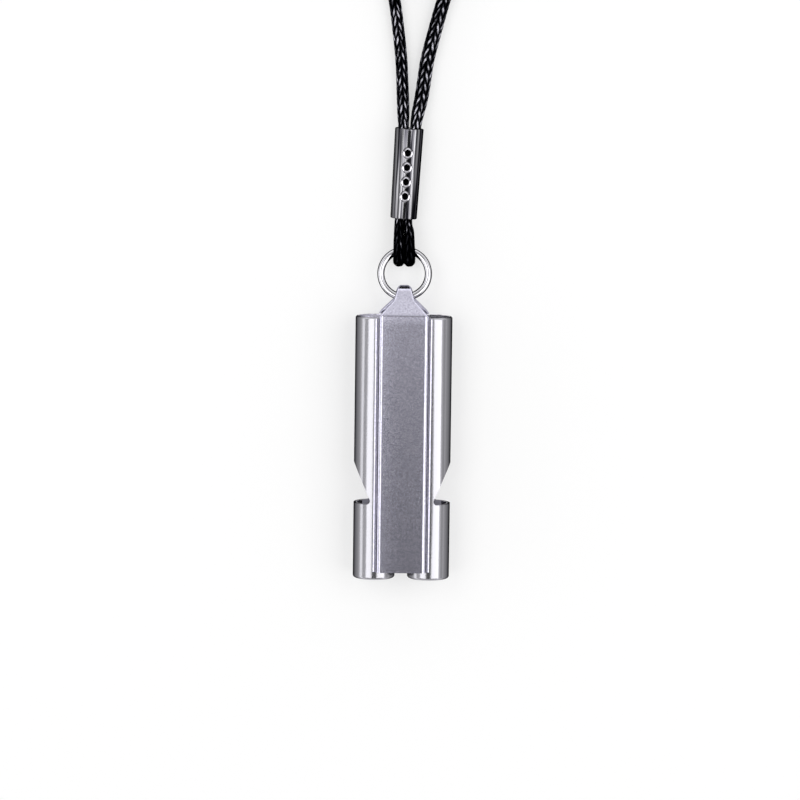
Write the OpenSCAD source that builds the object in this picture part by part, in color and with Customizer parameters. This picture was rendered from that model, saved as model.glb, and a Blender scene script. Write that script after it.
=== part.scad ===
/* [Tubes] */
// Outer diameter of each tube
tube_od = 7; // [5.5:0.1:9]
// Wall of each tube
tube_wall = 0.5; // [0.3:0.05:0.8]
// Length of each tube
tube_len = 44; // [36:0.5:60]
// Gap between the two tubes
tube_gap = 2.1; // [1:0.1:3]
// Rounding of the tubes' rims on their outer side
rim_r = 0.38; // [0.1:0.02:0.4]

/* [Sound windows] */
// Height of the window's lower cut above the mouth end
window_y = 12.7; // [9:0.1:16]
// Height of the sloping cut above the lower cut
window_h = 6.9; // [4:0.1:9]
// Depth of the window from the tube's outer side to the cuts' meeting point
window_depth = 3.1; // [2:0.1:3.3]
// Rounding where the two cuts meet
window_r = 0.6; // [0.1:0.05:0.7]
// Height of the flat windway along the tube's outer wall
windway_h = 0.95; // [0.6:0.05:1.5]

/* [End discs] */
// Thickness of each end disc
disc_t = 1; // [0.5:0.1:2]
// Depth of the left disc below its tube's rim
left_recess = 1; // [0.5:0.1:6]
// Depth of the right disc below its tube's rim
right_recess = 5; // [0.5:0.1:8]
// Gap round each disc and windway block inside its tube
insert_gap = 0.02; // [0.01:0.01:0.05]

/* [Folded strip] */
// Width of the strip
strip_w = 8.3; // [7.2:0.1:9.5]
// Thickness of the strip
strip_t = 0.9; // [0.6:0.05:1.2]
// Rounding of the strip's long outer edges
edge_r = 0.7; // [0.3:0.05:0.8]
// Distance by which the strip stops short of the mouth end
strip_setback = 1.4; // [0.5:0.1:3]
// Gap between the tubes' rims and the strip's bend
bend_gap = 0.1; // [0.05:0.05:0.5]
// Height of the fold's top above the bend
arch_h = 4.75; // [4.4:0.05:6.5]
// Width of the fold's flat top
fold_w = 1.7; // [1.2:0.1:2.2]
// Width of the neck at the fold's shoulders
neck_w = 2.4; // [2.2:0.1:3]
// Width of the neck where the flare starts
flare_w = 3.5; // [3.2:0.1:4]
// Radius of the braze fillet along the strip's edges
braze_r = 0.55; // [0.3:0.05:0.8]

/* [Ring] */
// Outer diameter of the ring
ring_od = 9.1; // [8.6:0.1:11]
// Thickness of the ring's wire
ring_wire = 1.2; // [1:0.05:1.3]
// Gap between the ring's wire and the inside of the fold
eye_gap = 0.5; // [0.45:0.05:0.7]

/* [Crimp sleeve] */
// Length of the sleeve
sleeve_len = 15; // [10:0.5:20]
// Outer diameter at the end near the ring
sleeve_near_d = 4.4; // [4.2:0.05:5]
// Outer diameter at the far end
sleeve_far_d = 4.75; // [4.5:0.05:5.5]
// Wall of the sleeve
sleeve_wall = 0.4; // [0.3:0.05:0.45]
// Distance from the ring's wire to the sleeve
sleeve_drop = 5.3; // [4:0.1:8]
// Number of crimp dimples
dimple_count = 4; // [2:1:5]
// Spacing of the dimples
dimple_pitch = 2.4; // [2:0.1:3]
// Width of a dimple's flared mouth
mouth_d = 1.9; // [1.4:0.05:2.1]
// Depth of the flared mouth
mouth_depth = 0.25; // [0.1:0.05:0.3]
// Width of a dimple's pit
pit_d = 1.2; // [0.8:0.05:1.3]
// Depth of a dimple
dimple_depth = 0.55; // [0.35:0.05:0.6]
// Wall round a dimple's pit, which bulges inside
dimple_wall = 0.2; // [0.15:0.05:0.25]
// Distance from the sleeve's far end to the first dimple
dimple_start = 4; // [2.5:0.1:6]

/* [Lanyard] */
// Diameter of the cord
cord_d = 2.2; // [1.8:0.1:2.4]
// Straight length of the hank's runs
hank_run = 44; // [30:1:60]
// Radius of the hank's innermost turn
hank_in_r = 4.2; // [3:0.1:6]
// Turns side by side in the hank
hank_wide = 3; // [2:1:4]
// Turns on top of each other in the hank
hank_high = 2; // [1:1:3]
// Width of the band that ties the hank
tie_w = 5; // [3:0.5:8]
// Thickness of the band
tie_t = 0.8; // [0.4:0.1:1]
// Rounding of the band's corners
tie_r = 1.2; // [0.8:0.1:1.5]

/* [Hidden] */
$fn = 64;
over = 1;

// The whistle lies on its back leg: Z is up through the front leg, Y runs to the ring
depth = tube_od + 2 * strip_t;
mid_z = depth / 2;
tube_x = (tube_od + tube_gap) / 2;
bore_r = tube_od / 2 - tube_wall;
rim_out_r = min(rim_r, 0.8 * tube_wall);
rim_in_r = 0.15 * tube_wall;

// The two legs lean in from the bend to the round fold, which leaves room for the ring's wire
fold_in_r = ring_wire / 2 + eye_gap;
fold_out_r = fold_in_r + strip_t;
eye_rise = arch_h - fold_out_r;
lean = atan2(mid_z, eye_rise) - asin(fold_out_r / norm([eye_rise, mid_z]));
bend_shift = strip_t * tan(lean / 2);
leg_flat = tube_len - strip_setback + bend_gap + bend_shift;
foot_y = -leg_flat / 2;
bend_y = leg_flat / 2;
mouth_y = foot_y - strip_setback;
rim_y = mouth_y + tube_len;
fold_y = bend_y + arch_h;
eye_y = bend_y + eye_rise;

// The ring lies back until the cord under its far side rests on the ground
wrap_d = 1.7;
wrap_gap = 0.05;
ring_r = (ring_od - ring_wire) / 2;
far_z = wrap_d + wrap_gap + ring_wire / 2;
droop = asin((mid_z - far_z) / (2 * ring_r));
far_y = eye_y + 2 * ring_r * cos(droop);

// The sleeve lies on the ground, turned a little to the right
sleeve_x = -0.3;
sleeve_turn = 3;

// The hank lies in line with the whistle, pinched in at its waist by the band
hank_x = 2;
hank_y = 55.5;
hank_out_r = hank_in_r + (hank_wide - 0.5) * cord_d;
hank_pinch = hank_in_r - cord_d / 2;
hank_h = hank_high * cord_d;
tie_gap = 0.05;

// Each cord's route from the ground under the ring's far side: right, along, up and radius.
// It starts inside the sleeve, loops under the ring's wire and runs out through the sleeve.
left_route = [
    [-0.65, 12.5, 1.6, 0.68], [-0.8, 9, 1.55, 0.7], [-1.05, 4.8, 1.5, 0.7], [-1, 3, 1.2, 0.8],
    [-1, 1.2, 0.92, 0.85], [-1, 0, 0.83, 0.85], [-1, -1.2, 1.2, 0.85], [-1, -1.8, 2.35, 0.85],
    [-1, -1.2, 3.65, 0.85], [-1, 0, 4.05, 0.85], [-1, 1.2, 3.9, 0.85], [-1, 3, 3.35, 0.8],
    [-1.05, 4.8, 2.95, 0.7], [-0.75, 10, 2.95, 0.7], [-0.6, 14, 2.95, 0.72], [-0.6, 17, 2.6, 0.85],
    [-0.5, 20.4, 2.35, 0.92], [-0.6, 22.5, 1.9, 1.05], [-0.7, 25, 1.4, 1.1], [-0.8, 28, 1.1, 1.1],
    [-1, 31.5, 1.1, 1.1], [-1.5, 36, 1.1, 1.1], [-2.3, 41.5, 1.1, 1.1], [-3.6, 46.5, 1.1, 1.1],
    [-5.3, 50.5, 1.1, 1.1]];
right_route = [
    [0.8, 12.5, 1.6, 0.68], [0.65, 9, 1.55, 0.7], [0.4, 4.8, 1.5, 0.7], [0.7, 3, 1.2, 0.8],
    [0.75, 1.2, 0.92, 0.85], [0.75, 0, 0.83, 0.85], [0.75, -1.2, 1.2, 0.85], [0.75, -1.8, 2.35, 0.85],
    [0.75, -1.2, 3.55, 0.85], [0.75, 0, 3.95, 0.85], [0.75, 1.2, 3.85, 0.85], [0.7, 3, 3.35, 0.8],
    [0.4, 4.8, 2.95, 0.7], [0.7, 10, 2.95, 0.7], [0.9, 14, 2.95, 0.72], [1.25, 17, 2.6, 0.85],
    [1.5, 20.4, 2.35, 0.92], [1.8, 22.5, 1.9, 1.05], [2.4, 25, 1.4, 1.1], [2.8, 28, 1.1, 1.1],
    [3.3, 31.5, 1.1, 1.1], [4.4, 36, 1.1, 1.1], [5.9, 41.5, 1.1, 1.1], [7.4, 45.5, 1.8, 1.1],
    [8.9, 50, 3.25, 1.1]];

// One outline corner rounded with an arc: points from the side of a to the side of c
function round_corner(a, b, c, r, steps = 6) =
    let (u = (a - b) / norm(a - b), v = (c - b) / norm(c - b),
        half = acos(u * v) / 2, reach = r / tan(half),
        centre = b + (u + v) / norm(u + v) * r / sin(half),
        from = b + u * reach - centre, to = b + v * reach - centre)
    [for (i = [0 : steps]) let (k = i / steps, m = from * (1 - k) + to * k) centre + m / norm(m) * r];

// An outline with every corner rounded by the radius given beside it
function rounded(points, radii) = let (n = len(points))
    [for (i = [0 : n - 1]) each radii[i] == 0 ? [points[i]]
        : round_corner(points[(i + n - 1) % n], points[i], points[(i + 1) % n], radii[i])];

// Direction of a route at one of its points
function heading(route, i) = let (n = len(route),
    d = route[min(i + 1, n - 1)] - route[max(i - 1, 0)]) [d.x, d.y, d.z] / norm([d.x, d.y, d.z]);

// A round cord swept along a route with eight sides
module cord(route) {
    sides = 8;
    n = len(route);
    rings = [for (i = [0 : n - 1]) let (p = route[i], t = heading(route, i),
        u0 = [1, 0, 0] - t * t.x, u = u0 / norm(u0), v = cross(t, u))
        for (s = [0 : sides - 1]) let (a = (s + 0.5) * 360 / sides)
            [p.x, p.y, p.z] + (u * cos(a) + v * sin(a)) * p[3]];
    walls = [for (i = [0 : n - 2], s = [0 : sides - 1]) let (q = (s + 1) % sides)
        [i * sides + s, (i + 1) * sides + s, (i + 1) * sides + q, i * sides + q]];
    caps = [[for (s = [0 : sides - 1]) s], [for (s = [sides - 1 : -1 : 0]) (n - 1) * sides + s]];
    translate([0, far_y, 0]) polyhedron(rings, concat(walls, caps), convexity = 4);
}

// A rod or bore along Y inside one tube, from y0 to y1
module along_tube(side, y0, y1, r) {
    translate([side * tube_x, y0, mid_z]) rotate([-90, 0, 0]) cylinder(h = y1 - y0, r = r);
}

// The sloping cut and the lower cut of the sound window, seen from the front
module window_cut(side) {
    outer_x = tube_x + tube_od / 2;
    slope = window_h / window_depth;
    translate([0, mouth_y + window_y, -over]) linear_extrude(depth + 2 * over)
        polygon(rounded([for (p = [[outer_x + over, 0], [outer_x - window_depth, 0],
            [outer_x + over, window_h + slope * over]]) [side * p.x, p.y]], [0, window_r, 0]));
}

// Thin round tube with rounded rims and a window in its outer side
module tube(side) {
    wall = [[bore_r, 0], [tube_od / 2, 0], [tube_od / 2, tube_len], [bore_r, tube_len]];
    color("silver") difference() {
        translate([side * tube_x, mouth_y, mid_z]) rotate([-90, 0, 0])
            rotate_extrude() polygon(rounded(wall, [rim_in_r, rim_out_r, rim_out_r, rim_in_r]));
        window_cut(side);
    }
}

// Fills the mouth up to the window, apart from the flat windway along the outer wall
module windway_block(side) {
    flat_x = tube_x + bore_r - windway_h;
    color("dimgray") difference() {
        along_tube(side, mouth_y, mouth_y + window_y, bore_r - insert_gap);
        translate([side * (flat_x + tube_od / 2) - tube_od / 2, mouth_y - over, 0])
            cube([tube_od, window_y + 2 * over, depth]);
    }
}

module end_disc(side, recess) {
    color("silver") along_tube(side, rim_y - recess - disc_t, rim_y - recess, bore_r - insert_gap);
}

// The strip's side view, or its hollow, with legs that end at the foot and lean in to the fold
module side_view(inset, fold_r, foot) {
    y = bend_y - inset * tan(lean / 2);
    reach = [sin(lean), cos(lean)] * fold_r;
    polygon([[foot, inset], [y, inset], [eye_y + reach.x, mid_z - reach.y],
        [eye_y + reach.x, mid_z + reach.y], [y, depth - inset], [foot, depth - inset]]);
    translate([eye_y, mid_z]) circle(fold_r);
}

// The flat strip's outline from the front, straight along the legs and necked at the fold
module front_view() {
    neck_y = fold_y - 0.4;
    flare_y = eye_y - 0.2;
    shoulder_y = bend_y + 0.15;
    right = rounded([[strip_w / 2, foot_y], [strip_w / 2, shoulder_y], [flare_w / 2, flare_y],
        [neck_w / 2, neck_y], [fold_w / 2, fold_y]], [0, 1.2, 1, 0.2, 0]);
    left = [for (i = [len(right) - 1 : -1 : 0]) [-right[i].x, right[i].y]];
    polygon(concat(right, left));
}

// The legs' section with its long outer edges rounded
module leg_section() {
    square([strip_w, depth - 2 * edge_r], center = true);
    square([strip_w - 2 * edge_r, depth], center = true);
    for (x = [-1, 1], z = [-1, 1])
        translate([x * (strip_w / 2 - edge_r), z * (mid_z - edge_r)]) circle(edge_r);
}

// Hollow braze fillets between the strip's long edges and the tubes, seen along Y
module braze_section() {
    for (x = [-1, 1], z = [-1, 1]) scale([x, z]) difference() {
        translate([strip_w / 2 - braze_r, tube_od / 2 - braze_r])
            square([2 * braze_r, 2 * braze_r]);
        translate([strip_w / 2 + braze_r, tube_od / 2 + braze_r]) circle(braze_r);
    }
}

module folded_strip() {
    color("silver") difference() {
        union() {
            intersection() {
                rotate([90, 0, 90]) translate([0, 0, -strip_w]) linear_extrude(2 * strip_w) difference() {
                    side_view(0, fold_out_r, foot_y);
                    side_view(strip_t, fold_in_r, foot_y - over);
                }
                translate([0, 0, -over]) linear_extrude(depth + 2 * over) front_view();
                translate([0, foot_y - over, mid_z]) rotate([-90, 0, 0])
                    linear_extrude(leg_flat + arch_h + 2 * over) leg_section();
            }
            translate([0, foot_y, mid_z]) rotate([-90, 0, 0])
                linear_extrude(rim_y - foot_y) braze_section();
        }
        for (side = [-1, 1]) along_tube(side, mouth_y - over, rim_y, tube_od / 2);
    }
}

module ring() {
    color("gainsboro") translate([0, eye_y, mid_z]) rotate([-droop, 0, 0]) translate([0, ring_r, 0])
        rotate_extrude() translate([ring_r, 0]) circle(ring_wire / 2);
}

// Tapered tube lying on the ground, with a row of crimp dimples pressed into its upper side
module crimp_sleeve() {
    rise = (sleeve_far_d - sleeve_near_d) / 2;
    color("#3c3c42") translate([sleeve_x, far_y + sleeve_drop, sleeve_near_d / 2])
        rotate([0, 0, -sleeve_turn]) rotate([asin(rise / sleeve_len) - 90, 0, 0]) difference() {
            union() {
                sleeve_shell();
                intersection() {
                    at_dimples(dimple_depth + dimple_wall)
                        cylinder(h = dimple_depth + dimple_wall + over, d = pit_d + 2 * dimple_wall);
                    cylinder(h = sleeve_len, d1 = sleeve_near_d, d2 = sleeve_far_d);
                }
            }
            at_dimples(dimple_depth) cylinder(h = dimple_depth + over, d = pit_d);
            at_dimples(mouth_depth) cylinder(h = mouth_depth, d1 = pit_d, d2 = mouth_d);
        }
}

// The sleeve before it is crimped, with rounded ends
module sleeve_shell() {
    near_r = sleeve_near_d / 2;
    far_r = sleeve_far_d / 2;
    end_r = sleeve_wall * 0.45;
    rotate_extrude() polygon(rounded([[near_r - sleeve_wall, 0], [near_r, 0],
        [far_r, sleeve_len], [far_r - sleeve_wall, sleeve_len]], [end_r, end_r, end_r, end_r]));
}

// Places a shape at each dimple, that far below the surface and pointing out of it
module at_dimples(below) {
    for (i = [0 : dimple_count - 1]) {
        along = sleeve_len - dimple_start - i * dimple_pitch;
        surface_r = (sleeve_near_d + (sleeve_far_d - sleeve_near_d) * along / sleeve_len) / 2;
        translate([0, below - surface_r, along]) rotate([90, 0, 0]) children();
    }
}

module lanyard_left_strand() {
    color("#161616") cord(left_route);
}

module lanyard_right_strand() {
    color("#161616") cord(right_route);
}

// Share of the pinch at a place along the hank's runs, from none at the ends to all at the waist
function pinch_share(along) = (1 - cos(360 * along)) / 2;

// Outer shape of the wound cord, open underneath where the band passes
module lanyard_hank() {
    steps = 16;
    side = [for (i = [0 : steps]) [hank_out_r - hank_pinch * pinch_share(i / steps), hank_run * i / steps]];
    far_end = [for (i = [1 : steps - 1]) let (a = 180 * i / steps)
        [hank_out_r * cos(a), hank_run + hank_out_r * sin(a)]];
    half = concat(side, far_end);
    outline = concat(half, [for (p = half) [-p.x, hank_run - p.y]]);
    color("#161616") translate([hank_x, far_y + hank_y, 0]) difference() {
        linear_extrude(hank_h) polygon(outline);
        translate([-hank_out_r, (hank_run - tie_w) / 2 - tie_gap, -over])
            cube([2 * hank_out_r, tie_w + 2 * tie_gap, tie_t + tie_gap + over]);
    }
}

// The band grips the hank where it is widest under the band
module hank_tie() {
    in_w = 2 * (hank_out_r - hank_pinch * pinch_share((1 - tie_w / hank_run) / 2) + tie_gap);
    in_h = hank_h - tie_t + tie_gap;
    half_w = in_w / 2 + tie_t;
    out_h = in_h + 2 * tie_t;
    corner_r = min(tie_r, 2 * tie_t);
    color("#222222") translate([hank_x, far_y + hank_y + (hank_run - tie_w) / 2, 0])
        rotate([-90, 0, 0]) linear_extrude(tie_w) difference() {
            polygon(rounded([[-half_w, 0], [half_w, 0], [half_w, -out_h], [-half_w, -out_h]],
                [corner_r, corner_r, corner_r, corner_r]));
            translate([-in_w / 2, -in_h - tie_t]) square([in_w, in_h]);
        }
}

folded_strip();
tube(-1);  // left_tube
tube(1);  // right_tube
windway_block(-1);  // left_windway_block
windway_block(1);  // right_windway_block
end_disc(-1, left_recess);  // left_end_disc
end_disc(1, right_recess);  // right_end_disc
ring();
crimp_sleeve();
lanyard_left_strand();
lanyard_right_strand();
lanyard_hank();
hank_tie();
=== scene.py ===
import math

import bmesh
import bpy
from mathutils import Matrix, Vector


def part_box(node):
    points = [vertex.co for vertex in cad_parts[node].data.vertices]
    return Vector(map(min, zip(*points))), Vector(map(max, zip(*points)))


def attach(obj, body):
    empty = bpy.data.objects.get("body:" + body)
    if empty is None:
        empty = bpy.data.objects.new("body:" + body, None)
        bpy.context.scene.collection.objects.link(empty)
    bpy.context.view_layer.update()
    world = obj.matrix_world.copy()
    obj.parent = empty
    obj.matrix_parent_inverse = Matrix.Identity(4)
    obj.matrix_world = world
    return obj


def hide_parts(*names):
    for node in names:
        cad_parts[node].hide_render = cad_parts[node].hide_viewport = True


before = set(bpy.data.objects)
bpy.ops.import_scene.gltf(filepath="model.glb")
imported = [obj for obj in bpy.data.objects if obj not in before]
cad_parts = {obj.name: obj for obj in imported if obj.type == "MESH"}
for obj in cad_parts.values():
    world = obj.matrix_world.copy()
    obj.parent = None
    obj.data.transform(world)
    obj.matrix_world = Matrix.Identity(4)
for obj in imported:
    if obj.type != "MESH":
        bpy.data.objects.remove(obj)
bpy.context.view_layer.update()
mm = 0.001   # the scene is in metres, and every size below is in mm
print("frame loaded:", len(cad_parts), "nodes")


# Picture and light
# The camera looks down on the lying whistle from a little past the ring, as the photo does
camera = {
    "target": (-0.5, 7.0, 4.4),
    "distance": 633.0,
    "tilt": 7.3,
    "roll": 0.74,
    "lens": 171.0,
    "sensor": 36.0,
    "clipFrom": 10.0,
    "clipTo": 50000.0,
}

# Two softboxes overhead and a strip of light low on the left: where each starts and ends, in degrees from
# straight up towards its side
studio = {
    "height": 700.0,
    "length": 860.0,
    "forward": 130.0,
    "leftFrom": 12.0,
    "leftTo": 44.0,
    "rightFrom": 16.0,
    "rightTo": 57.0,
    "radiance": 1.8,
    "edgeFrom": 66.0,
    "edgeTo": 83.0,
    "edgeDistance": 900.0,
    "edgeRadiance": 1.3,
}

# The room's brightness by degrees from straight up: along, towards the mouth end, and across, towards the
# right. The second counts where a direction goes more to a side than towards the ring, but the wall beyond
# the mouth end keeps the first over its whole width.
room = {
    "along": ((-90, 1.9), (-80, 1.7), (-73, 0.86), (-57, 0.86), (-50, 0.6), (-40, 0.36), (-10, 0.36),
              (-4, 0.6), (0, 1.1), (4.4, 1.1), (5.2, 0.08), (11, 0.05), (20, 0.2), (50, 0.3), (58, 0.5),
              (66, 1.2), (90, 1.3)),
    "across": ((-90, 1.2), (-84, 0.9), (-76, 0.55), (-65, 0.5), (-50, 0.7), (-40, 0.2), (-20, 0.1),
               (20, 0.1), (50, 0.4), (57, 1.5), (63, 0.9), (74, 0.6), (82, 0.6), (90, 1.2)),
    "acrossFrom": 0.35,
    "acrossFull": 0.75,
    "wallFull": -0.6,
    "wallFrom": -0.35,
}

floor = {
    "color": "#fbfbfb",
    "roughness": 0.9,
    "glow": 0.55,
    "halfWidth": 3000.0,
    "below": 0.02,
}

view = bpy.context.scene.view_settings
view.view_transform = "Standard"


def addObject(name, data):
    obj = bpy.data.objects.new(name, data)
    bpy.context.scene.collection.objects.link(obj)
    return obj


def makeCamera():
    tilt = math.radians(camera["tilt"])
    roll = math.radians(camera["roll"])
    back = Vector((0, math.sin(tilt), math.cos(tilt)))
    up = Vector((0, math.cos(tilt), -math.sin(tilt)))
    right = Vector((1, 0, 0))
    across = right * math.cos(roll) + up * math.sin(roll)
    upward = up * math.cos(roll) - right * math.sin(roll)
    data = bpy.data.cameras.new("camera")
    data.sensor_fit = "HORIZONTAL"
    data.sensor_width = camera["sensor"]
    data.lens = camera["lens"]
    data.clip_start = camera["clipFrom"] * mm
    data.clip_end = camera["clipTo"] * mm
    obj = addObject("camera", data)
    place = Vector(camera["target"]) + back * camera["distance"]
    turn = Matrix((across, upward, back)).transposed().to_4x4()
    obj.matrix_world = Matrix.Translation(place * mm) @ turn
    bpy.context.scene.camera = obj


def addPanel(name, centre, size, facing, radiance):
    data = bpy.data.lights.new(name, "AREA")
    data.shape = "RECTANGLE"
    data.size = size[0] * mm
    data.size_y = size[1] * mm
    data.energy = radiance * math.pi * size[0] * size[1] * mm * mm   # the power that gives this radiance
    obj = addObject(name, data)
    turn = Vector(facing).to_track_quat("-Z", "Y").to_matrix().to_4x4()
    obj.matrix_world = Matrix.Translation(Vector(centre) * mm) @ turn
    obj.visible_camera = False


def makeStudio():
    s = studio
    for side, low, high in ((-1, "leftFrom", "leftTo"), (1, "rightFrom", "rightTo")):
        near = s["height"] * math.tan(math.radians(s[low]))
        far = s["height"] * math.tan(math.radians(s[high]))
        addPanel("softbox", (side * (near + far) / 2, s["forward"], s["height"]),
                 (far - near, s["length"]), (0, 0, -1), s["radiance"])
    top = s["edgeDistance"] / math.tan(math.radians(s["edgeFrom"]))
    low = s["edgeDistance"] / math.tan(math.radians(s["edgeTo"]))
    addPanel("edgeStrip", (-s["edgeDistance"], 0, (top + low) / 2),
             (s["length"], top - low), (1, 0, 0), s["edgeRadiance"])


# Shader helpers
def hexColor(code):
    parts = [int(code[i:i + 2], 16) / 255 for i in (1, 3, 5)]
    linear = [p / 12.92 if p <= 0.04045 else ((p + 0.055) / 1.055) ** 2.4 for p in parts]
    return (*linear, 1)


def addNode(tree, kind, inputs=None, **settings):
    node = tree.nodes.new(kind)
    for key, value in settings.items():
        setattr(node, key, value)
    for key, value in (inputs or {}).items():
        if isinstance(value, bpy.types.NodeSocket):
            tree.links.new(value, node.inputs[key])
        else:
            node.inputs[key].default_value = value
    return node


def newMaterial(name):
    material = bpy.data.materials.new(name)
    material.use_nodes = True
    material.node_tree.nodes.clear()
    return material, material.node_tree


def setRamp(node, stops):
    ramp = node.color_ramp
    while len(ramp.elements) > 2:
        ramp.elements.remove(ramp.elements[-1])
    for i, (place, value) in enumerate(stops):
        stop = ramp.elements[i] if i < 2 else ramp.elements.new(place)
        stop.position = place
        stop.color = value if isinstance(value, tuple) else (value, value, value, 1)


def makeWorld():
    world = bpy.data.worlds.new("studioRoom")
    bpy.context.scene.world = world
    world.use_nodes = True
    tree = world.node_tree
    tree.nodes.clear()
    direction = addNode(tree, "ShaderNodeTexCoord").outputs["Generated"]
    split = addNode(tree, "ShaderNodeSeparateXYZ", {0: direction})
    ramps = []
    for axis, sign, stops in (("Y", -1, room["along"]), ("X", 1, room["across"])):
        angle = addNode(tree, "ShaderNodeMath", {0: split.outputs[axis], 1: split.outputs["Z"]},
                        operation="ARCTAN2")
        share = addNode(tree, "ShaderNodeMapRange", {0: angle.outputs[0], "From Min": -sign * math.pi / 2,
                                                     "From Max": sign * math.pi / 2})
        ramps.append(addNode(tree, "ShaderNodeValToRGB", {0: share.outputs[0]}))
        setRamp(ramps[-1], [((degrees + 90) / 180, value) for degrees, value in stops])
    side = addNode(tree, "ShaderNodeMath", {0: split.outputs["X"]}, operation="ABSOLUTE")
    sideways = addNode(tree, "ShaderNodeMath", {0: side.outputs[0], 1: split.outputs["Y"]},
                       operation="SUBTRACT")
    turned = addNode(tree, "ShaderNodeMapRange", {0: sideways.outputs[0], "From Min": room["acrossFrom"],
                                                  "From Max": room["acrossFull"]},
                     interpolation_type="SMOOTHSTEP")
    beforeWall = addNode(tree, "ShaderNodeMapRange", {0: split.outputs["Y"], "From Min": room["wallFull"],
                                                      "From Max": room["wallFrom"]},
                         interpolation_type="SMOOTHSTEP")
    share = addNode(tree, "ShaderNodeMath", {0: turned.outputs[0], 1: beforeWall.outputs[0]},
                    operation="MULTIPLY")
    mixed = addNode(tree, "ShaderNodeMix", {0: share.outputs[0], 6: ramps[0].outputs[0],
                                            7: ramps[1].outputs[0]}, data_type="RGBA")
    glow = addNode(tree, "ShaderNodeBackground", {"Color": mixed.outputs[2]})
    addNode(tree, "ShaderNodeOutputWorld", {"Surface": glow.outputs[0]})


def makeFloor():
    bm = bmesh.new()
    bmesh.ops.create_grid(bm, x_segments=1, y_segments=1, size=floor["halfWidth"] * mm)
    bmesh.ops.translate(bm, verts=bm.verts, vec=(0, 0, -floor["below"] * mm))
    mesh = bpy.data.meshes.new("floor")
    bm.to_mesh(mesh)
    bm.free()
    obj = addObject("floor", mesh)
    material, tree = newMaterial("paleCard")   # matt white card
    paint = addNode(tree, "ShaderNodeBsdfPrincipled",
                    {"Base Color": hexColor(floor["color"]), "Roughness": floor["roughness"],
                     "Specular IOR Level": 0.0})
    # A light table: part of its white shines through, and the rest keeps the whistle's shadow
    glow = addNode(tree, "ShaderNodeEmission", {"Color": (1, 1, 1, 1), "Strength": 1.0})
    path = addNode(tree, "ShaderNodeLightPath")
    seen = addNode(tree, "ShaderNodeMath", {0: path.outputs["Is Camera Ray"],
                                            1: path.outputs["Is Glossy Ray"]}, operation="ADD")
    through = addNode(tree, "ShaderNodeMath", {0: seen.outputs[0],
                                               1: path.outputs["Is Transmission Ray"]}, operation="ADD")
    share = addNode(tree, "ShaderNodeMath", {0: through.outputs[0], 1: floor["glow"]},
                    operation="MULTIPLY", use_clamp=True)
    both = addNode(tree, "ShaderNodeMixShader", {0: share.outputs[0], 1: paint.outputs[0],
                                                 2: glow.outputs[0]})
    addNode(tree, "ShaderNodeOutputMaterial", {"Surface": both.outputs[0]})
    mesh.materials.append(material)


makeCamera()
makeStudio()
makeWorld()
makeFloor()
print("camera, lights and floor made")


# Metals
# The scratches' spacing and length, and the speckle's width, depth and the span of its noise
steel = {
    "scratchApart": 0.08,
    "scratchLong": 4.0,
    "speckleWide": 0.3,
    "speckleDeep": 0.003,
    "speckleFrom": 0.35,
    "speckleTo": 0.65,
}

# A tube's axis, right of the middle and up, the radius of its paler inside and how soon that gives way to the
# outer finish, and how far from the crown the painted shade film on the outside starts and is full
bore = {
    "x": 4.55,
    "z": 4.4,
    "radius": 3.05,
    "blend": 0.1,
    "color": "#fbfaff",
    "edge": "#e0e0e4",
    "flankShadeFrom": 1.7,
    "flankShadeFull": 2.7,
}


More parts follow.
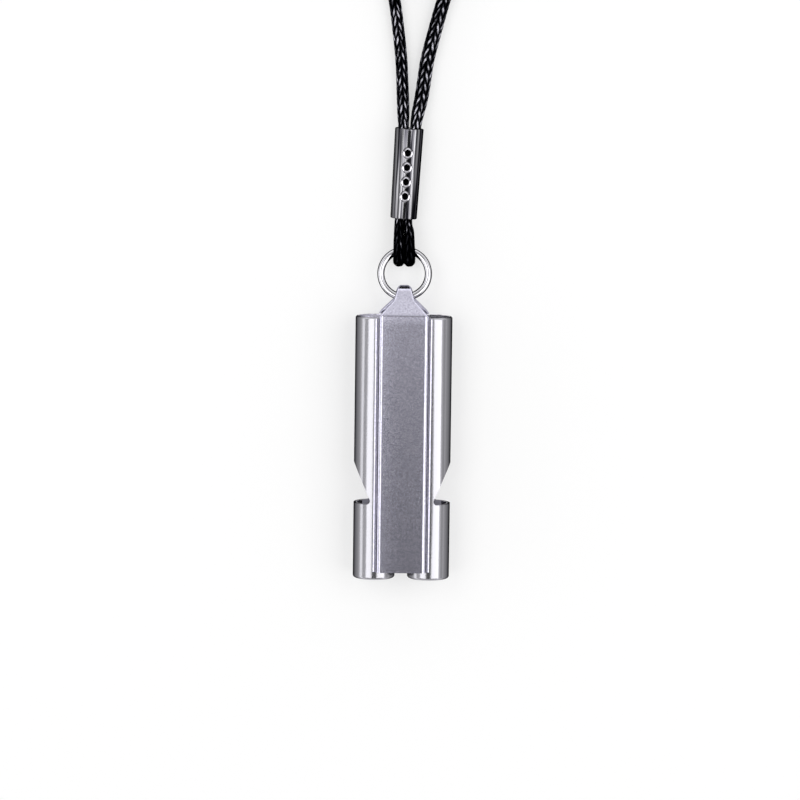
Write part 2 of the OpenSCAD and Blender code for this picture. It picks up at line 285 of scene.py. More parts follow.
def makeSteel(name, color, edge, roughness, scratch, wave=0.05, speckle=None, bored=False, film=1.0,
              paintedRimShade=None):
    # Drawn and satin-brushed: fine lengthwise scratches that soften the reflections
    material, tree = newMaterial(name)
    place = addNode(tree, "ShaderNodeTexCoord").outputs["Object"]
    finest = 1 / (steel["scratchApart"] * mm)
    stretch = addNode(tree, "ShaderNodeMapping",
                      {"Vector": place, "Scale": (finest, 1 / (steel["scratchLong"] * mm), finest)})
    grain = addNode(tree, "ShaderNodeTexNoise",
                    {"Vector": stretch.outputs[0], "Scale": 1.0, "Detail": 4.0, "Roughness": 0.6})
    rough = addNode(tree, "ShaderNodeMapRange",
                    {0: grain.outputs[0], "To Min": roughness - wave, "To Max": roughness + wave})
    bump = addNode(tree, "ShaderNodeBump",
                   {"Height": grain.outputs[0], "Distance": scratch * mm, "Strength": 1.0})
    base = hexColor(color)
    tint = hexColor(edge)
    coat = 0.0
    if speckle:   # the rolled sheet's faint speckle, drawn large enough to show
        spots = addNode(tree, "ShaderNodeTexNoise", {"Vector": place, "Detail": 5.0, "Roughness": 0.65,
                                                     "Scale": 1 / (steel["speckleWide"] * mm)})
        share = addNode(tree, "ShaderNodeMapRange", {0: spots.outputs[0], "From Min": steel["speckleFrom"],
                                                     "From Max": steel["speckleTo"]})
        base = addNode(tree, "ShaderNodeMix", {0: share.outputs[0], 6: base, 7: hexColor(speckle)},
                       data_type="RGBA").outputs[2]
        bump = addNode(tree, "ShaderNodeBump", {"Height": spots.outputs[0], "Strength": 1.0,
                                                "Distance": steel["speckleDeep"] * mm,
                                                "Normal": bump.outputs[0]})
    if bored:   # the drawn inside of the tubes is paler at a slant than the satin outside
        spot = addNode(tree, "ShaderNodeSeparateXYZ", {0: place})
        side = addNode(tree, "ShaderNodeMath", {0: spot.outputs["X"]}, operation="ABSOLUTE")
        offset = addNode(tree, "ShaderNodeCombineXYZ", {"X": side.outputs[0], "Z": spot.outputs["Z"]})
        away = addNode(tree, "ShaderNodeVectorMath", {0: offset.outputs[0],
                                                      1: (bore["x"] * mm, 0, bore["z"] * mm)},
                       operation="DISTANCE")
        outside = addNode(tree, "ShaderNodeMapRange",
                          {0: away.outputs["Value"], "From Min": bore["radius"] * mm,
                           "From Max": (bore["radius"] + bore["blend"]) * mm})
        tint, base = (
            addNode(tree, "ShaderNodeMix", {0: outside.outputs[0], 6: hexColor(bore[inner]), 7: outer},
                    data_type="RGBA").outputs[2]
            for inner, outer in (("edge", tint), ("color", base)))
        # A film of painted shade darkens the flanks, and the crowns are bare
        middle = addNode(tree, "ShaderNodeMath", {0: side.outputs[0], 1: bore["x"] * mm},
                         operation="SUBTRACT")
        flank = addNode(tree, "ShaderNodeMath", {0: middle.outputs[0]}, operation="ABSOLUTE")
        paintedFlankShade = addNode(tree, "ShaderNodeMapRange", {0: flank.outputs[0], "From Min": bore["flankShadeFrom"] * mm,
                                                      "From Max": bore["flankShadeFull"] * mm})
        coat = addNode(tree, "ShaderNodeMath", {0: outside.outputs[0], 1: paintedFlankShade.outputs[0]},
                       operation="MULTIPLY").outputs[0]
    if paintedRimShade:   # a painted dark reflection: the polish is darkened at a slant, from one share of the slant to another
        slant = addNode(tree, "ShaderNodeLayerWeight", {"Blend": 0.5})
        coat = addNode(tree, "ShaderNodeMapRange", {0: slant.outputs["Facing"], "From Min": paintedRimShade[0],
                                                    "From Max": paintedRimShade[1]}).outputs[0]
    # A coat of index 1 adds no gloss of its own: it only deepens the metal at a slant, as painted shade on
    # the tubes' flanks and the ring's rim
    metal = addNode(tree, "ShaderNodeBsdfPrincipled", {
        "Base Color": base, "Metallic": 1.0, "Roughness": rough.outputs[0],
        "Specular Tint": tint, "Normal": bump.outputs[0], "Coat Weight": coat, "Coat IOR": 1.0,
        "Coat Tint": (film, film, film, 1)})
    addNode(tree, "ShaderNodeOutputMaterial", {"Surface": metal.outputs[0]})
    return material


def dress(node, material):
    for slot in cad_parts[node].material_slots:
        slot.material = material


# The tubes' flanks carry a film of painted shade
tubeSteel = makeSteel("satinSteelTube", color="#b9b8be", edge="#505058", roughness=0.17, scratch=0.004,
                      bored=True, film=0.62)
stripSteel = makeSteel("satinSteelStrip", color="#bfbdcf", edge="#8a8a92", roughness=0.2, scratch=0.004,
                       speckle="#dbd9e9")
# The ring's rim is darkened at a slant as a painted dark reflection
ringSteel = makeSteel("polishedSteelRing", color="#dddce1", edge="#000000", roughness=0.06,
                      scratch=0.0005, wave=0.02, film=0.08, paintedRimShade=(0.2, 0.42))
insertSteel = makeSteel("turnedSteelInsert", color="#9c9aa2", edge="#a0a0a8", roughness=0.3,
                        scratch=0.002)

for node in ("left_tube", "right_tube", "left_end_disc", "right_end_disc"):
    dress(node, tubeSteel)
dress("ring", ringSteel)
for node in ("left_windway_block", "right_windway_block"):
    dress(node, insertSteel)
print("metals made")


# Folded strip
# One steel strip folded over the eye, with rolled edges, and brazed to both tubes. The edge sizes are the
# radii of its outer edges on the leg, on the flare and at the top.
strip = {
    "width": 8.3,
    "thick": 0.9,
    "legEdge": 0.7,
    "flareEdge": 0.6,
    "topEdge": 0.3,
    "innerEdge": 0.12,
    "edgeMost": 0.6,
    "edgeBlend": 1.2,
    "edgeSteps": 6,
    "bendRadius": 0.9,
    "archHigh": 4.75,
    "archSteps": 14,
    "foldOuter": 2.0,
    "foldTop": 1.7,
    "foldSteps": 10,
    "neck": 2.4,
    "neckBelow": 0.4,
    "neckRadius": 0.2,
    "flare": 3.5,
    "flareBelow": 0.2,
    "flareRadius": 1.0,
    "shoulderPast": 0.15,
    "shoulderRadius": 1.2,
    "topMargin": 0.001,
    "footPoint": 0.05,
    "legPoint": 1.6,
    "braze": 0.55,
    "brazeSteps": 6,
    "brazeSunk": 0.3,
    "brazeUnder": 0.2,
    "brazeFrom": 0.02,
    "brazeShort": 0.2,
}


def clamped(value):
    return min(max(value, 0), 1)


def roundCorner(a, b, c, radius, steps=8):
    # The arc that rounds the corner b, from its side towards a to its side towards c
    toA = (a - b).normalized()
    toC = (c - b).normalized()
    half = toA.angle(toC) / 2
    centre = b + (toA + toC).normalized() * radius / math.sin(half)
    first = b + toA * radius / math.tan(half) - centre
    last = b + toC * radius / math.tan(half) - centre
    return [centre + first.lerp(last, i / steps).normalized() * radius for i in range(steps + 1)]


def roundedLine(corners, steps=8):
    # An open line with its inner corners rounded by the radius beside each
    points = [Vector(corners[0][:2])]
    for before, corner, after in zip(corners, corners[1:], corners[2:]):
        a, b, c = (Vector(p[:2]) for p in (before, corner, after))
        points += roundCorner(a, b, c, corner[2], steps) if corner[2] else [b]
    return points + [Vector(corners[-1][:2])]


def valueAt(line, place):
    # How wide the line is at a place along it
    for a, b in zip(line, line[1:]):
        if (a.y - place) * (b.y - place) <= 0 and a.y != b.y:
            return a.x + (b.x - a.x) * (place - a.y) / (b.y - a.y)
    return line[-1].x if abs(place - line[-1].y) < abs(place - line[0].y) else line[0].x


def addGrid(bm, across, along):
    # A flat grid whose points are then put in place: a dictionary of vertex by column and row
    bmesh.ops.create_grid(bm, x_segments=across, y_segments=along, size=1)
    return {(round((v.co.x + 1) / 2 * across), round((v.co.y + 1) / 2 * along)): v for v in bm.verts}


def finishMesh(bm, name, sharpAngle=40):
    bmesh.ops.remove_doubles(bm, verts=bm.verts, dist=0.001 * mm)
    bmesh.ops.recalc_face_normals(bm, faces=bm.faces)
    mesh = bpy.data.meshes.new(name)
    bm.to_mesh(mesh)
    bm.free()
    mesh.polygons.foreach_set("use_smooth", [True] * len(mesh.polygons))
    mesh.set_sharp_from_angle(angle=math.radians(sharpAngle))
    return addObject(name, mesh)


def stripSection(width, edge):
    # A flat bar with its outer edges rolled round
    s = strip
    right = roundedLine([(0, 0, 0), (width, 0, edge), (width, s["thick"], s["innerEdge"]),
                         (0, s["thick"], 0)], s["edgeSteps"])[1:-1]
    return right + [Vector((-p.x, p.y)) for p in reversed(right)]


def makeStrip():
    s = strip
    low, high = (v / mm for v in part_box("folded_strip"))
    middle = (low.z + high.z) / 2
    foot, top = low.y, high.y
    bend = top - s["archHigh"]
    eye = top - s["foldOuter"]
    rise = eye - bend
    lean = math.atan2(middle, rise) - math.asin(s["foldOuter"] / math.hypot(rise, middle))

    # Half of the outer side's profile, from the foot over the bend to the fold's top
    meet = Vector((eye + math.sin(lean) * s["foldOuter"], middle - math.cos(lean) * s["foldOuter"]))
    half = [Vector((foot, 0)), Vector((foot + s["footPoint"], 0)), Vector((bend - s["legPoint"], 0))]
    half += roundCorner(Vector((foot, 0)), Vector((bend, 0)), meet, s["bendRadius"])
    corner = half[-1]
    half += [corner.lerp(meet, i / s["archSteps"]) for i in range(1, s["archSteps"])]
    for i in range(s["foldSteps"] + 1):
        angle = lean + (math.pi / 2 - lean) * i / s["foldSteps"]
        half.append(Vector((eye, middle)) + Vector((math.sin(angle), -math.cos(angle))) * s["foldOuter"])
    profile = half + [Vector((p.x, 2 * middle - p.y)) for p in reversed(half[:-1])]

    # Half of the outline seen from the front: wide on the tubes, then the flare, the neck and the fold
    outline = roundedLine([
        (s["width"] / 2, foot, 0), (s["width"] / 2, bend + s["shoulderPast"], s["shoulderRadius"]),
        (s["flare"] / 2, eye - s["flareBelow"], s["flareRadius"]),
        (s["neck"] / 2, top - s["neckBelow"], s["neckRadius"]), (s["foldTop"] / 2, top, 0)])

    sections = []
    for p in profile:
        width = valueAt(outline, min(p.x, top - s["topMargin"]))
        onLeg = 1 - clamped((p.x - bend + s["edgeBlend"] / 2) / s["edgeBlend"])
        lifted = clamped((p.x - bend) / s["archHigh"])
        edge = (s["flareEdge"] + (s["legEdge"] - s["flareEdge"]) * onLeg
                + (s["topEdge"] - s["flareEdge"]) * lifted)
        sections.append(stripSection(width, min(edge, width * s["edgeMost"])))
    count = len(sections[0])
    bm = bmesh.new()
    verts = addGrid(bm, count, len(profile) - 1)
    for k, (p, section) in enumerate(zip(profile, sections)):
        before = profile[max(k - 1, 0)]
        after = profile[min(k + 1, len(profile) - 1)]
        ahead = (after - before).normalized()
        inward = Vector((-ahead.y, ahead.x))
        for i in range(count + 1):
            q = section[i % count]
            spot = p + inward * q.y
            verts[i, k].co = Vector((q.x, spot.x, spot.y)) * mm
    bmesh.ops.remove_doubles(bm, verts=bm.verts, dist=0.001 * mm)
    bmesh.ops.holes_fill(bm, edges=[e for e in bm.edges if e.is_boundary], sides=count)

    # Braze fillets in the corners between the strip's edges and the tubes, sunk a little into both
    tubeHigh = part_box("right_tube")[1] / mm
    crown = tubeHigh.z - middle
    edge = s["width"] / 2
    b = s["braze"]
    arc = [(edge + b * (1 - math.cos(a)), crown + b * (1 - math.sin(a)))
           for a in (math.pi / 2 * i / s["brazeSteps"] for i in range(s["brazeSteps"] + 1))]
    sunk = crown - s["brazeSunk"]
    points = [(edge - s["brazeUnder"], sunk)] + arc[::-1] + [(edge + b, sunk)]
    start = foot + s["brazeFrom"]
    length = tubeHigh.y - foot - s["brazeShort"]
    for x in (-1, 1):
        for z in (-1, 1):
            loop = [bm.verts.new(Vector((x * px, start, middle + z * pz)) * mm) for px, pz in points]
            swept = bmesh.ops.extrude_face_region(bm, geom=[bm.faces.new(loop)])
            bmesh.ops.translate(bm, verts=[g for g in swept["geom"] if isinstance(g, bmesh.types.BMVert)],
                                vec=(0, length * mm, 0))
    return finishMesh(bm, "folded_strip_formed")


stripObject = makeStrip()
stripObject.data.materials.append(stripSteel)
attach(stripObject, "whistle")
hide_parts("folded_strip")
print("folded strip made")


# Crimp sleeve
# A rolled tube of black nickel plate with a row of punched dimples in its upper side
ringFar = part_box("ring")[1].y / mm - 0.6
sleeve = {
    "length": 15.0,
    "nearDiameter": 4.4,
    "farDiameter": 4.75,
    "wall": 0.4,
    "endRadius": 0.18,
    "endSteps": 5,
    "drop": 5.3,
    "x": -0.3,
    "turn": 3.0,
    "dimples": 4,
    "dimpleStart": 4.0,
    "dimplePitch": 2.4,
    "mouthWidth": 1.9,
    "pitWidth": 1.2,
    "dimpleDepth": 0.38,
    "flareDepth": 0.5,
    "around": 180,
    "step": 0.09,
}


def dimpleAt(distance):
    # Depth below the sleeve's surface: a mouth flared like a countersink, then a steep pit
    s = sleeve
    mouth = s["mouthWidth"] / 2
    pit = s["pitWidth"] / 2
    flare = clamped((mouth - distance) / (mouth - pit))
    hole = math.sqrt(max(1 - (distance / pit) ** 2, 0))
    return s["dimpleDepth"] * (s["flareDepth"] * flare + (1 - s["flareDepth"]) * hole)


def makeSleeve():
    s = sleeve
    near = s["nearDiameter"] / 2
    far = s["farDiameter"] / 2
    corners = [Vector((near - s["wall"], 0)), Vector((near, 0)), Vector((far, s["length"])),
               Vector((far - s["wall"], s["length"]))]
    arcs = [roundCorner(corners[i - 1], corners[i], corners[(i + 1) % 4], s["endRadius"], s["endSteps"])
            for i in range(4)]
    steps = round(s["length"] / s["step"])
    outer = [arcs[1][-1].lerp(arcs[2][0], i / steps) for i in range(1, steps)]
    profile = arcs[0] + arcs[1] + outer + arcs[2] + arcs[3]
    profile.append(profile[0])
    first = len(arcs[0]) + len(arcs[1])
    dimpled = range(first, first + len(outer))
    places = [s["length"] - s["dimpleStart"] - i * s["dimplePitch"] for i in range(s["dimples"])]

    lean = math.asin((far - near) / s["length"])
    turn = math.radians(s["turn"])
    origin = Vector((s["x"], ringFar + s["drop"], near))
    ahead = Vector((math.sin(turn) * math.cos(lean), math.cos(turn) * math.cos(lean), math.sin(lean)))
    across = Vector((math.cos(turn), -math.sin(turn), 0))
    upward = across.cross(ahead)

    bm = bmesh.new()
    pitLayer = bm.verts.layers.float.new("pit")
    verts = addGrid(bm, s["around"], len(profile) - 1)
    for (i, k), vert in verts.items():
        angle = 2 * math.pi * i / s["around"]
        radius, along = profile[k]
        if k in dimpled:
            offset = radius * (angle if angle < math.pi else angle - 2 * math.pi)
            distance = min(math.hypot(offset, along - place) for place in places)
            depth = dimpleAt(distance)
            vert[pitLayer] = depth / s["dimpleDepth"]
            radius -= depth
        outwards = upward * math.cos(angle) + across * math.sin(angle)
        vert.co = (origin + ahead * along + outwards * radius) * mm
    return finishMesh(bm, "crimp_sleeve_formed", sharpAngle=80)


# The draw lines' width, length and depth, how rough the plate is on them, how deep in a dimple the worn plate
# is brightest and where the painted black shade at its bottom starts, as shares of its depth, and how dense
# the dark film is
nickel = {
    "lineWide": 0.5,
    "lineLong": 30.0,
    "lineDeep": 0.03,
    "lineColors": ((0.42, "#222228"), (0.5, "#8c8a94"), (0.62, "#fbfaff")),
    "smooth": 0.03,
    "rough": 0.1,
    "wornAt": 0.25,
    "wornColor": "#f0eef6",
    "wornFilm": 0.4,
    "pitShadeFrom": 0.55,
    "pitShadeFull": 0.6,
    "pitShadeColor": "#08080a",
    "film": 0.42,
}


def makeNickel():
    # Black nickel plate: mirror-like, black where it is thick and paler where the metal shows through
    n = nickel
    material, tree = newMaterial("blackNickelPlate")
    place = addNode(tree, "ShaderNodeTexCoord").outputs["Object"]
    # Lines from drawing the tube: the plate is thin on their crests
    drawn = addNode(tree, "ShaderNodeMapping",
                    {"Vector": place, "Rotation": (0, 0, -math.radians(sleeve["turn"])),
                     "Scale": (n["lineWide"] * mm, n["lineLong"] * mm, n["lineWide"] * mm)},
                    vector_type="TEXTURE")
    lines = addNode(tree, "ShaderNodeTexNoise", {"Vector": drawn.outputs[0], "Scale": 1.0, "Detail": 3.0})
    streak = addNode(tree, "ShaderNodeValToRGB", {0: lines.outputs[0]})
    setRamp(streak, [(share, hexColor(code)) for share, code in n["lineColors"]])
    rough = addNode(tree, "ShaderNodeMapRange", {0: lines.outputs[0], "To Min": n["smooth"],
                                                 "To Max": n["rough"]})
    bump = addNode(tree, "ShaderNodeBump",
                   {"Height": lines.outputs[0], "Distance": n["lineDeep"] * mm, "Strength": 1.0})
    # The punch wore the plate bright round each dimple's mouth, and the dimple's bottom is painted black as
    # shade
    pit = addNode(tree, "ShaderNodeAttribute", attribute_name="pit")
    mouth = addNode(tree, "ShaderNodeMapRange", {0: pit.outputs["Fac"], "From Max": n["wornAt"]})
    paintedPitShade = addNode(tree, "ShaderNodeMapRange", {0: pit.outputs["Fac"], "From Min": n["pitShadeFrom"],
                                                  "From Max": n["pitShadeFull"]})
    film = addNode(tree, "ShaderNodeMapRange", {0: mouth.outputs[0], "To Min": 1.0, "To Max": n["wornFilm"]})
    color = streak.outputs[0]
    for share, code in ((mouth, n["wornColor"]), (paintedPitShade, n["pitShadeColor"])):
        color = addNode(tree, "ShaderNodeMix", {0: share.outputs[0], 6: color, 7: hexColor(code)},
                        data_type="RGBA").outputs[2]
    metal = addNode(tree, "ShaderNodeBsdfPrincipled", {
        "Base Color": color, "Metallic": 1.0, "Roughness": rough.outputs[0],
        "Specular Tint": hexColor("#000000"), "Normal": bump.outputs[0], "Coat IOR": 1.0,
        "Coat Weight": film.outputs[0], "Coat Tint": (n["film"], n["film"], n["film"], 1)})
    addNode(tree, "ShaderNodeOutputMaterial", {"Surface": metal.outputs[0]})
    return material


sleeveObject = makeSleeve()
sleeveObject.data.materials.append(makeNickel())
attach(sleeveObject, "ring_and_lanyard")
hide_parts("crimp_sleeve")
print("crimp sleeve made:", len(sleeveObject.data.polygons), "faces")


# Lanyard
lanyard = {
    "start": ringFar,
    "diameter": 2.2,
    "columns": 8,
    "pitch": 1.65,
    "slant": 1.1,
    "groove": 0.2,
    "thinRadius": 0.75,
    "fullRadius": 1.1,
    "leastGroove": 0.1,
    "pressedTo": 1.5,
    "freeFrom": 7.0,
    "pressedShare": 0.7,
    "sides": 32,
    "seenStep": 0.15,
    "hankStep": 0.37,
    "hankStepFrom": 43.5,
}
hank = {
    "x": 2.0,
    "y": 55.5,
    "run": 44.0,
    "turn": (8.6, 6.4, 4.2),
    "pinch": 3.1,
    "low": 1.1,
    "high": 3.3,
    "climbBulge": 0.9,
    "tieHalf": 2.5,
    "tieBlend": 8.0,
    "tieLow": 1.74,
    "tieHigh": 3.51,
    "tieThin": 0.885,
    "runSteps": 22,
    "bendSteps": 14,
}

# The cord's route from under the ring's wire, in mm: right, along, up and radius
leftRoute = [
    (-0.65, 12.5, 1.6, 0.68), (-0.8, 9, 1.55, 0.7), (-1.05, 4.8, 1.5, 0.7), (-1, 3, 1.2, 0.8),
    (-1, 1.2, 0.92, 0.85), (-0.98, 0, 0.83, 0.87), (-0.95, -1.2, 1.2, 0.9), (-0.97, -1.8, 2.35, 1.0),
    (-0.98, -1.2, 3.65, 1.0), (-0.98, 0, 4.05, 0.98), (-1.03, 1.2, 3.9, 0.92), (-1.03, 3, 3.35, 0.86),
    (-1.05, 4.8, 2.95, 0.75), (-0.75, 10, 2.95, 0.7), (-0.6, 14, 2.95, 0.72), (-0.6, 17, 2.6, 0.85),
    (-0.5, 20.4, 2.35, 0.92), (-0.55, 22.5, 1.9, 1.05), (-0.65, 25, 1.4, 1.08), (-0.8, 28, 1.1, 1.05),
    (-1, 31.5, 1.1, 1.05), (-1.5, 36, 1.1, 1.05), (-2.3, 41.5, 1.1, 1.05), (-3.6, 46.5, 1.1, 1.1),
    (-5.3, 50.5, 1.1, 1.1)]
rightRoute = [
    (0.8, 12.5, 1.6, 0.68), (0.65, 9, 1.55, 0.7), (0.4, 4.8, 1.5, 0.7), (0.7, 3, 1.2, 0.8),
    (0.75, 1.2, 0.92, 0.85), (0.73, 0, 0.83, 0.87), (0.7, -1.2, 1.2, 0.9), (0.76, -1.8, 2.35, 1.0),
    (0.78, -1.2, 3.55, 1.0), (0.76, 0, 3.95, 0.98), (0.72, 1.2, 3.85, 0.92), (0.66, 3, 3.35, 0.86),
    (0.42, 4.8, 2.95, 0.75), (0.7, 10, 2.95, 0.7), (0.9, 14, 2.95, 0.72), (1.25, 17, 2.6, 0.85),
    (1.5, 20.4, 2.35, 0.95), (1.8, 22.5, 1.9, 1.1), (2.35, 25, 1.4, 1.2), (2.8, 28, 1.22, 1.22),
    (3.3, 31.5, 1.22, 1.22), (4.4, 36, 1.22, 1.22), (5.9, 41.5, 1.22, 1.2), (7.4, 45.5, 1.8, 1.15),
    (8.9, 50, 3.25, 1.1)]


def blendIn(distance, inner, outer):
    # One inside the inner distance, none beyond the outer one, smooth between
    share = clamped((outer - distance) / (outer - inner))
    return share * share * (3 - 2 * share)


def hankRun(radius, side, level, outbound):
    # One long side of a turn, drawn in and pressed at its middle, where the band ties it
    h = hank
    full = lanyard["diameter"] / 2
    points = []
    for i in range(1, h["runSteps"]):
        along = h["run"] * i / h["runSteps"]
        if not outbound:
            along = h["run"] - along
        waist = (1 - math.cos(2 * math.pi * along / h["run"])) / 2
        tight = blendIn(abs(along - h["run"] / 2), h["tieHalf"], h["tieBlend"])
        free = h["high"] if level else h["low"]
        tied = h["tieHigh"] if level else h["tieLow"]
        points.append((h["x"] + side * (radius - h["pinch"] * waist), h["y"] + along,
                       free + (tied - free) * tight, full + (h["tieThin"] - full) * tight))
    return points


def hankBend(radius, centre, far, z0, z1, bulge=0.0):
    # Half a turn: over the far end from left to right, or round the near end from right to left
    h = hank
    points = []
    for i in range(h["bendSteps"] + 1):
        share = i / h["bendSteps"]
        angle = math.pi * (1 - share) if far else -math.pi * share
        reach = radius - bulge * math.sin(math.pi * share)
        points.append((h["x"] + centre + reach * math.cos(angle),
                       h["y"] + (h["run"] if far else 0) + reach * math.sin(angle),
                       z0 + (z1 - z0) * share, lanyard["diameter"] / 2))
    return points


def hankRoute():
    # Three turns on the floor from the outermost inwards, then three on top of them outwards
    h = hank
    outer, middle, inner = h["turn"]
    half = lanyard["diameter"] / 2
    points = [(h["x"] - outer, h["y"], h["low"], half)]
    for level, radii in ((0, (outer, middle, inner)), (1, (inner, middle, outer))):
        z = h["high"] if level else h["low"]
        for i, radius in enumerate(radii):
            points += hankRun(radius, -1, level, True)
            points += hankBend(radius, 0, True, z, z)
            points += hankRun(radius, 1, level, False)
            if i < 2:
                step = -half if level else half
                points += hankBend((radius + radii[i + 1]) / 2, step, False, z, z)
            elif level == 0:
                points += hankBend(inner, 0, False, h["low"], h["high"], h["climbBulge"])
    points.append((h["x"] + outer, h["y"], h["high"], half))
    return points


def smoothRoute(points, parts=6):
    # A smooth curve through the points
    dense = []
    last = len(points) - 1
    for i in range(last):
        a, b, c, d = (Vector(points[min(max(k, 0), last)]) for k in (i - 1, i, i + 1, i + 2))
        for j in range(parts):
            t = j / parts
            dense.append(0.5 * (2 * b + (c - a) * t + (2 * a - 5 * b + 4 * c - d) * t * t
                                + (3 * b - a - 3 * c + d) * t ** 3))
    dense.append(Vector(points[last]))
    return dense


def resample(dense, stepAt):
    # Even steps along the curve, finer where the eye goes: each point with its distance from the start
    rings = []
    travelled = 0.0
    wanted = 0.0
    for a, b in zip(dense, dense[1:]):
        length = (b.xyz - a.xyz).length
        while length > 0 and wanted <= travelled + length:
            share = (wanted - travelled) / length
            rings.append((a.lerp(b, share), wanted))
            wanted += stepAt(a)
        travelled += length
    rings.append((dense[-1], travelled))
    return rings, travelled


def yarnHeight(column, along):
    # One plaited yarn crossing its column, from none in the grooves to one on its back
    c = math.floor(column)
    across = column - c - 0.5
    odd = c % 2
    phase = along + (1 - 2 * odd) * lanyard["slant"] * across + 0.5 * odd
    part = phase - math.floor(phase) - 0.5
    return math.sqrt(max(0, 1 - 4 * across * across)) * math.sqrt(max(0, 1 - 4 * part * part))


def makeLanyard():
    s = lanyard
    left = [Vector(p) for p in leftRoute]
    right = [Vector(p) for p in reversed(rightRoute)]
    route = left + [Vector(p) for p in hankRoute()] + right
    rings, length = resample(smoothRoute(route),
                             lambda p: s["seenStep"] if p.y < s["hankStepFrom"] else s["hankStep"])
    centres = [Vector((p.x, p.y + s["start"], p.z)) for p, _ in rings]
    count = len(rings)
    sides = s["sides"]

    bm = bmesh.new()
    bmesh.ops.create_grid(bm, x_segments=sides, y_segments=count - 1, size=1)
    uvLayer = bm.loops.layers.uv.new("UVMap")
    pressedLayer = bm.verts.layers.float.new("pressed")
    spot = {}
    for vert in bm.verts:
        spot[vert.index] = (round((vert.co.x + 1) / 2 * sides), round((vert.co.y + 1) / 2 * (count - 1)))
    for face in bm.faces:
        for loop in face.loops:
            i, k = spot[loop.vert.index]
            loop[uvLayer].uv = (i / sides * s["columns"], rings[k][1] / s["pitch"])

    # Each ring keeps the direction of the one before it, so the braid doesn't twist
    across = Vector((1, 0, 0))
    frames = []
    for k in range(count):
        ahead = (centres[min(k + 1, count - 1)] - centres[max(k - 1, 0)]).normalized()
        across = (across - ahead * across.dot(ahead)).normalized()
        frames.append((across.copy(), ahead.cross(across)))
    for vert in bm.verts:
        i, k = spot[vert.index]
        p, travelled = rings[k]
        angle = 2 * math.pi * i / sides
        height = yarnHeight(i / sides * s["columns"], travelled / s["pitch"])
        # The thinner the cord, the shallower its grooves, and shallowest where it is pressed round the ring
        pressed = blendIn(p.y, s["pressedTo"], s["freeFrom"])
        plump = clamped((p.w - s["thinRadius"]) / (s["fullRadius"] - s["thinRadius"]))
        groove = s["groove"] * max(plump, s["leastGroove"]) * (1 - s["pressedShare"] * pressed)
        vert[pressedLayer] = pressed
        reach = p.w - groove * (1 - height)
        u, v = frames[k]
        vert.co = (centres[k] + (u * math.cos(angle) + v * math.sin(angle)) * reach) * mm
    bmesh.ops.remove_doubles(bm, verts=bm.verts, dist=0.0005 * mm)
    bmesh.ops.holes_fill(bm, edges=[e for e in bm.edges if e.is_boundary], sides=sides)
    bmesh.ops.recalc_face_normals(bm, faces=bm.faces)
    mesh = bpy.data.meshes.new("lanyard_cord")
    bm.to_mesh(mesh)
    bm.free()
    mesh.polygons.foreach_set("use_smooth", [True] * len(mesh.polygons))
    obj = addObject("lanyard_cord", mesh)
    path = [tuple(c * mm) for c in centres]
    print("lanyard:", count, "rings,", round(length, 1), "mm")
    return obj, path, length * mm


# The fibres' noise across, along and between the yarns and their share of a yarn's height, that height and
# the width of a patch of wax in mm, and the factor and offset with which each one changes the shade
braid = {
    "fibre": (14, 1.5, 3.7),
    "fibreHigh": 0.12,
    "deep": 0.22,
    "patch": 1.2,
    "fibreShade": (0.5, -0.25),
    "patchShade": (0.9, -0.48),
    "pressedPaintedShade": (-0.25, 0.0),
    "grooveShadeColors": ((0.5, "#010102"), (0.82, "#26262c"), (1.0, "#aeadb6")),
    "roughness": 0.2,
}


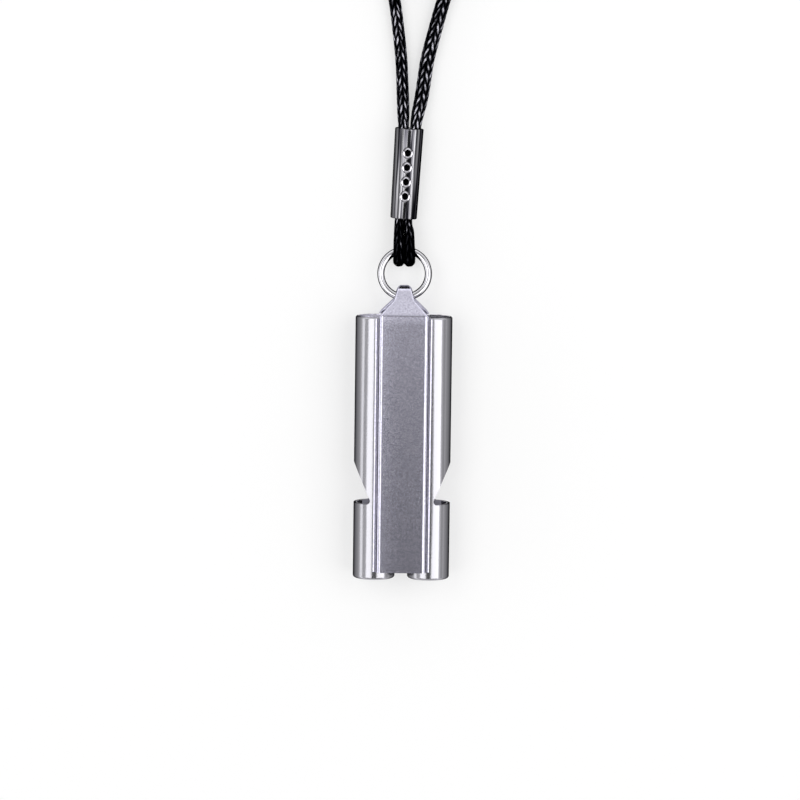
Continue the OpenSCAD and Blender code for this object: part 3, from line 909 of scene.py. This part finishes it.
def makeBraid():
    # Waxed polyester braid: the wax fills the yarns to a lacquer-like gloss, and the grooves between them are
    # painted black as shade. A dark metal gives that gloss without paling the cord's edges.
    material, tree = newMaterial("waxedBraid")
    uv = addNode(tree, "ShaderNodeTexCoord").outputs["UV"]
    split = addNode(tree, "ShaderNodeSeparateXYZ", {0: uv})
    # The yarn's height, from none in the grooves to one on its back, in named steps
    value = {"u": split.outputs["X"], "v": split.outputs["Y"]}
    for name, operation, *given in (
            ("column", "FLOOR", "u"),
            ("inColumn", "FRACT", "u"),
            ("across", "SUBTRACT", "inColumn", 0.5),
            ("odd", "MODULO", "column", 2.0),
            ("lean", "MULTIPLY_ADD", "odd", -2 * lanyard["slant"], lanyard["slant"]),
            ("shear", "MULTIPLY_ADD", "lean", "across", "v"),
            ("phase", "MULTIPLY_ADD", "odd", 0.5, "shear"),
            ("inYarn", "FRACT", "phase"),
            ("part", "SUBTRACT", "inYarn", 0.5),
            ("acrossSquared", "MULTIPLY", "across", "across"),
            ("partSquared", "MULTIPLY", "part", "part"),
            ("wide", "MULTIPLY_ADD", "acrossSquared", -4.0, 1.0),
            ("long", "MULTIPLY_ADD", "partSquared", -4.0, 1.0),
            ("both", "MULTIPLY", "wide", "long"),
            ("above", "MAXIMUM", "both", 0.0),
            ("height", "SQRT", "above")):
        inputs = {i: value.get(item, item) for i, item in enumerate(given)}
        value[name] = addNode(tree, "ShaderNodeMath", inputs, operation=operation).outputs[0]
    # Fibres run along each yarn, about 0.05 mm apart
    fibreSpot = addNode(tree, "ShaderNodeCombineXYZ",
                        {"X": value["part"], "Y": value["across"], "Z": value["column"]})
    fibreScale = addNode(tree, "ShaderNodeMapping",
                         {"Vector": fibreSpot.outputs[0], "Scale": braid["fibre"]})
    fibre = addNode(tree, "ShaderNodeTexNoise",
                    {"Vector": fibreScale.outputs[0], "Scale": 1.0, "Detail": 2.0})
    lump = addNode(tree, "ShaderNodeMath", {0: fibre.outputs[0], 1: braid["fibreHigh"], 2: value["height"]},
                   operation="MULTIPLY_ADD").outputs[0]
    # The wax lies unevenly, in patches, and the cord is painted darker as shade where the ring presses it
    place = addNode(tree, "ShaderNodeTexCoord").outputs["Object"]
    patch = addNode(tree, "ShaderNodeTexNoise",
                    {"Vector": place, "Scale": 1 / (braid["patch"] * mm), "Detail": 2.0})
    pressed = addNode(tree, "ShaderNodeAttribute", attribute_name="pressed")
    shade = value["height"]
    for source, name in ((fibre, "fibreShade"), (patch, "patchShade"), (pressed, "pressedPaintedShade")):
        factor, offset = braid[name]
        part = addNode(tree, "ShaderNodeMath", {0: source.outputs["Fac"], 1: factor, 2: offset},
                       operation="MULTIPLY_ADD")
        shade = addNode(tree, "ShaderNodeMath", {0: shade, 1: part.outputs[0]}, operation="ADD").outputs[0]
    # The colour runs from black, painted shade in the grooves, to pale on the yarns' backs
    color = addNode(tree, "ShaderNodeValToRGB", {0: shade})
    setRamp(color, [(share, hexColor(code)) for share, code in braid["grooveShadeColors"]])
    bump = addNode(tree, "ShaderNodeBump", {"Height": lump, "Distance": braid["deep"] * mm, "Strength": 1.0})
    wax = addNode(tree, "ShaderNodeBsdfPrincipled", {
        "Base Color": color.outputs[0], "Metallic": 1.0, "Roughness": braid["roughness"],
        "Specular Tint": hexColor("#000000"), "Normal": bump.outputs[0]})
    addNode(tree, "ShaderNodeOutputMaterial", {"Surface": wax.outputs[0]})
    return material


# The band that ties the hank
tie = {
    "thick": 0.8,
    "corner": 1.2,
    "edge": 0.35,
    "innerEdge": 0.15,
    "edgeSteps": 5,
    "color": "#232326",
    "roughness": 0.55,
    "skinWide": 0.3,
    "skinDeep": 0.02,
}


def makeRubber():
    # Moulded rubber: matt black with a fine skin
    material, tree = newMaterial("mouldedRubber")
    place = addNode(tree, "ShaderNodeTexCoord").outputs["Object"]
    skin = addNode(tree, "ShaderNodeTexNoise",
                   {"Vector": place, "Scale": 1 / (tie["skinWide"] * mm), "Detail": 3.0})
    bump = addNode(tree, "ShaderNodeBump",
                   {"Height": skin.outputs[0], "Distance": tie["skinDeep"] * mm, "Strength": 0.5})
    rubber = addNode(tree, "ShaderNodeBsdfPrincipled", {
        "Base Color": hexColor(tie["color"]), "Roughness": tie["roughness"], "Normal": bump.outputs[0]})
    addNode(tree, "ShaderNodeOutputMaterial", {"Surface": rubber.outputs[0]})
    return material


def makeTie():
    # A moulded band with rounded edges, wider than the cord is thick
    s = tie
    low, high = (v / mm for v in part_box("hank_tie"))
    middle = (low.x + high.x) / 2
    half = (high.x - low.x) / 2
    c = s["corner"]
    path = roundedLine([(middle, low.z, 0), (middle + half, low.z, c), (middle + half, high.z, c),
                        (middle - half, high.z, c), (middle - half, low.z, c), (middle, low.z, 0)])
    wide = high.y - low.y
    section = roundedLine([(wide / 2, 0, 0), (wide, 0, s["edge"]), (wide, s["thick"], s["innerEdge"]),
                           (0, s["thick"], s["innerEdge"]), (0, 0, s["edge"]), (wide / 2, 0, 0)],
                          s["edgeSteps"])
    bm = bmesh.new()
    verts = addGrid(bm, len(section) - 1, len(path) - 1)
    last = len(path) - 1
    for (i, k), vert in verts.items():
        before = path[k - 1] if k else path[last - 1]
        after = path[k + 1] if k < last else path[1]
        ahead = (after - before).normalized()
        spot = path[k] + Vector((-ahead.y, ahead.x)) * section[i].y
        vert.co = Vector((spot.x, low.y + section[i].x, spot.y)) * mm
    return finishMesh(bm, "hank_tie_formed")


tieObject = makeTie()
tieObject.data.materials.append(makeRubber())
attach(tieObject, "ring_and_lanyard")
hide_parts("hank_tie")
print("band made")

cordObject, cordPath, cordLength = makeLanyard()
cordObject.data.materials.append(makeBraid())
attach(cordObject, "ring_and_lanyard")
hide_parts("lanyard_left_strand", "lanyard_right_strand", "lanyard_hank")
print("lanyard made")
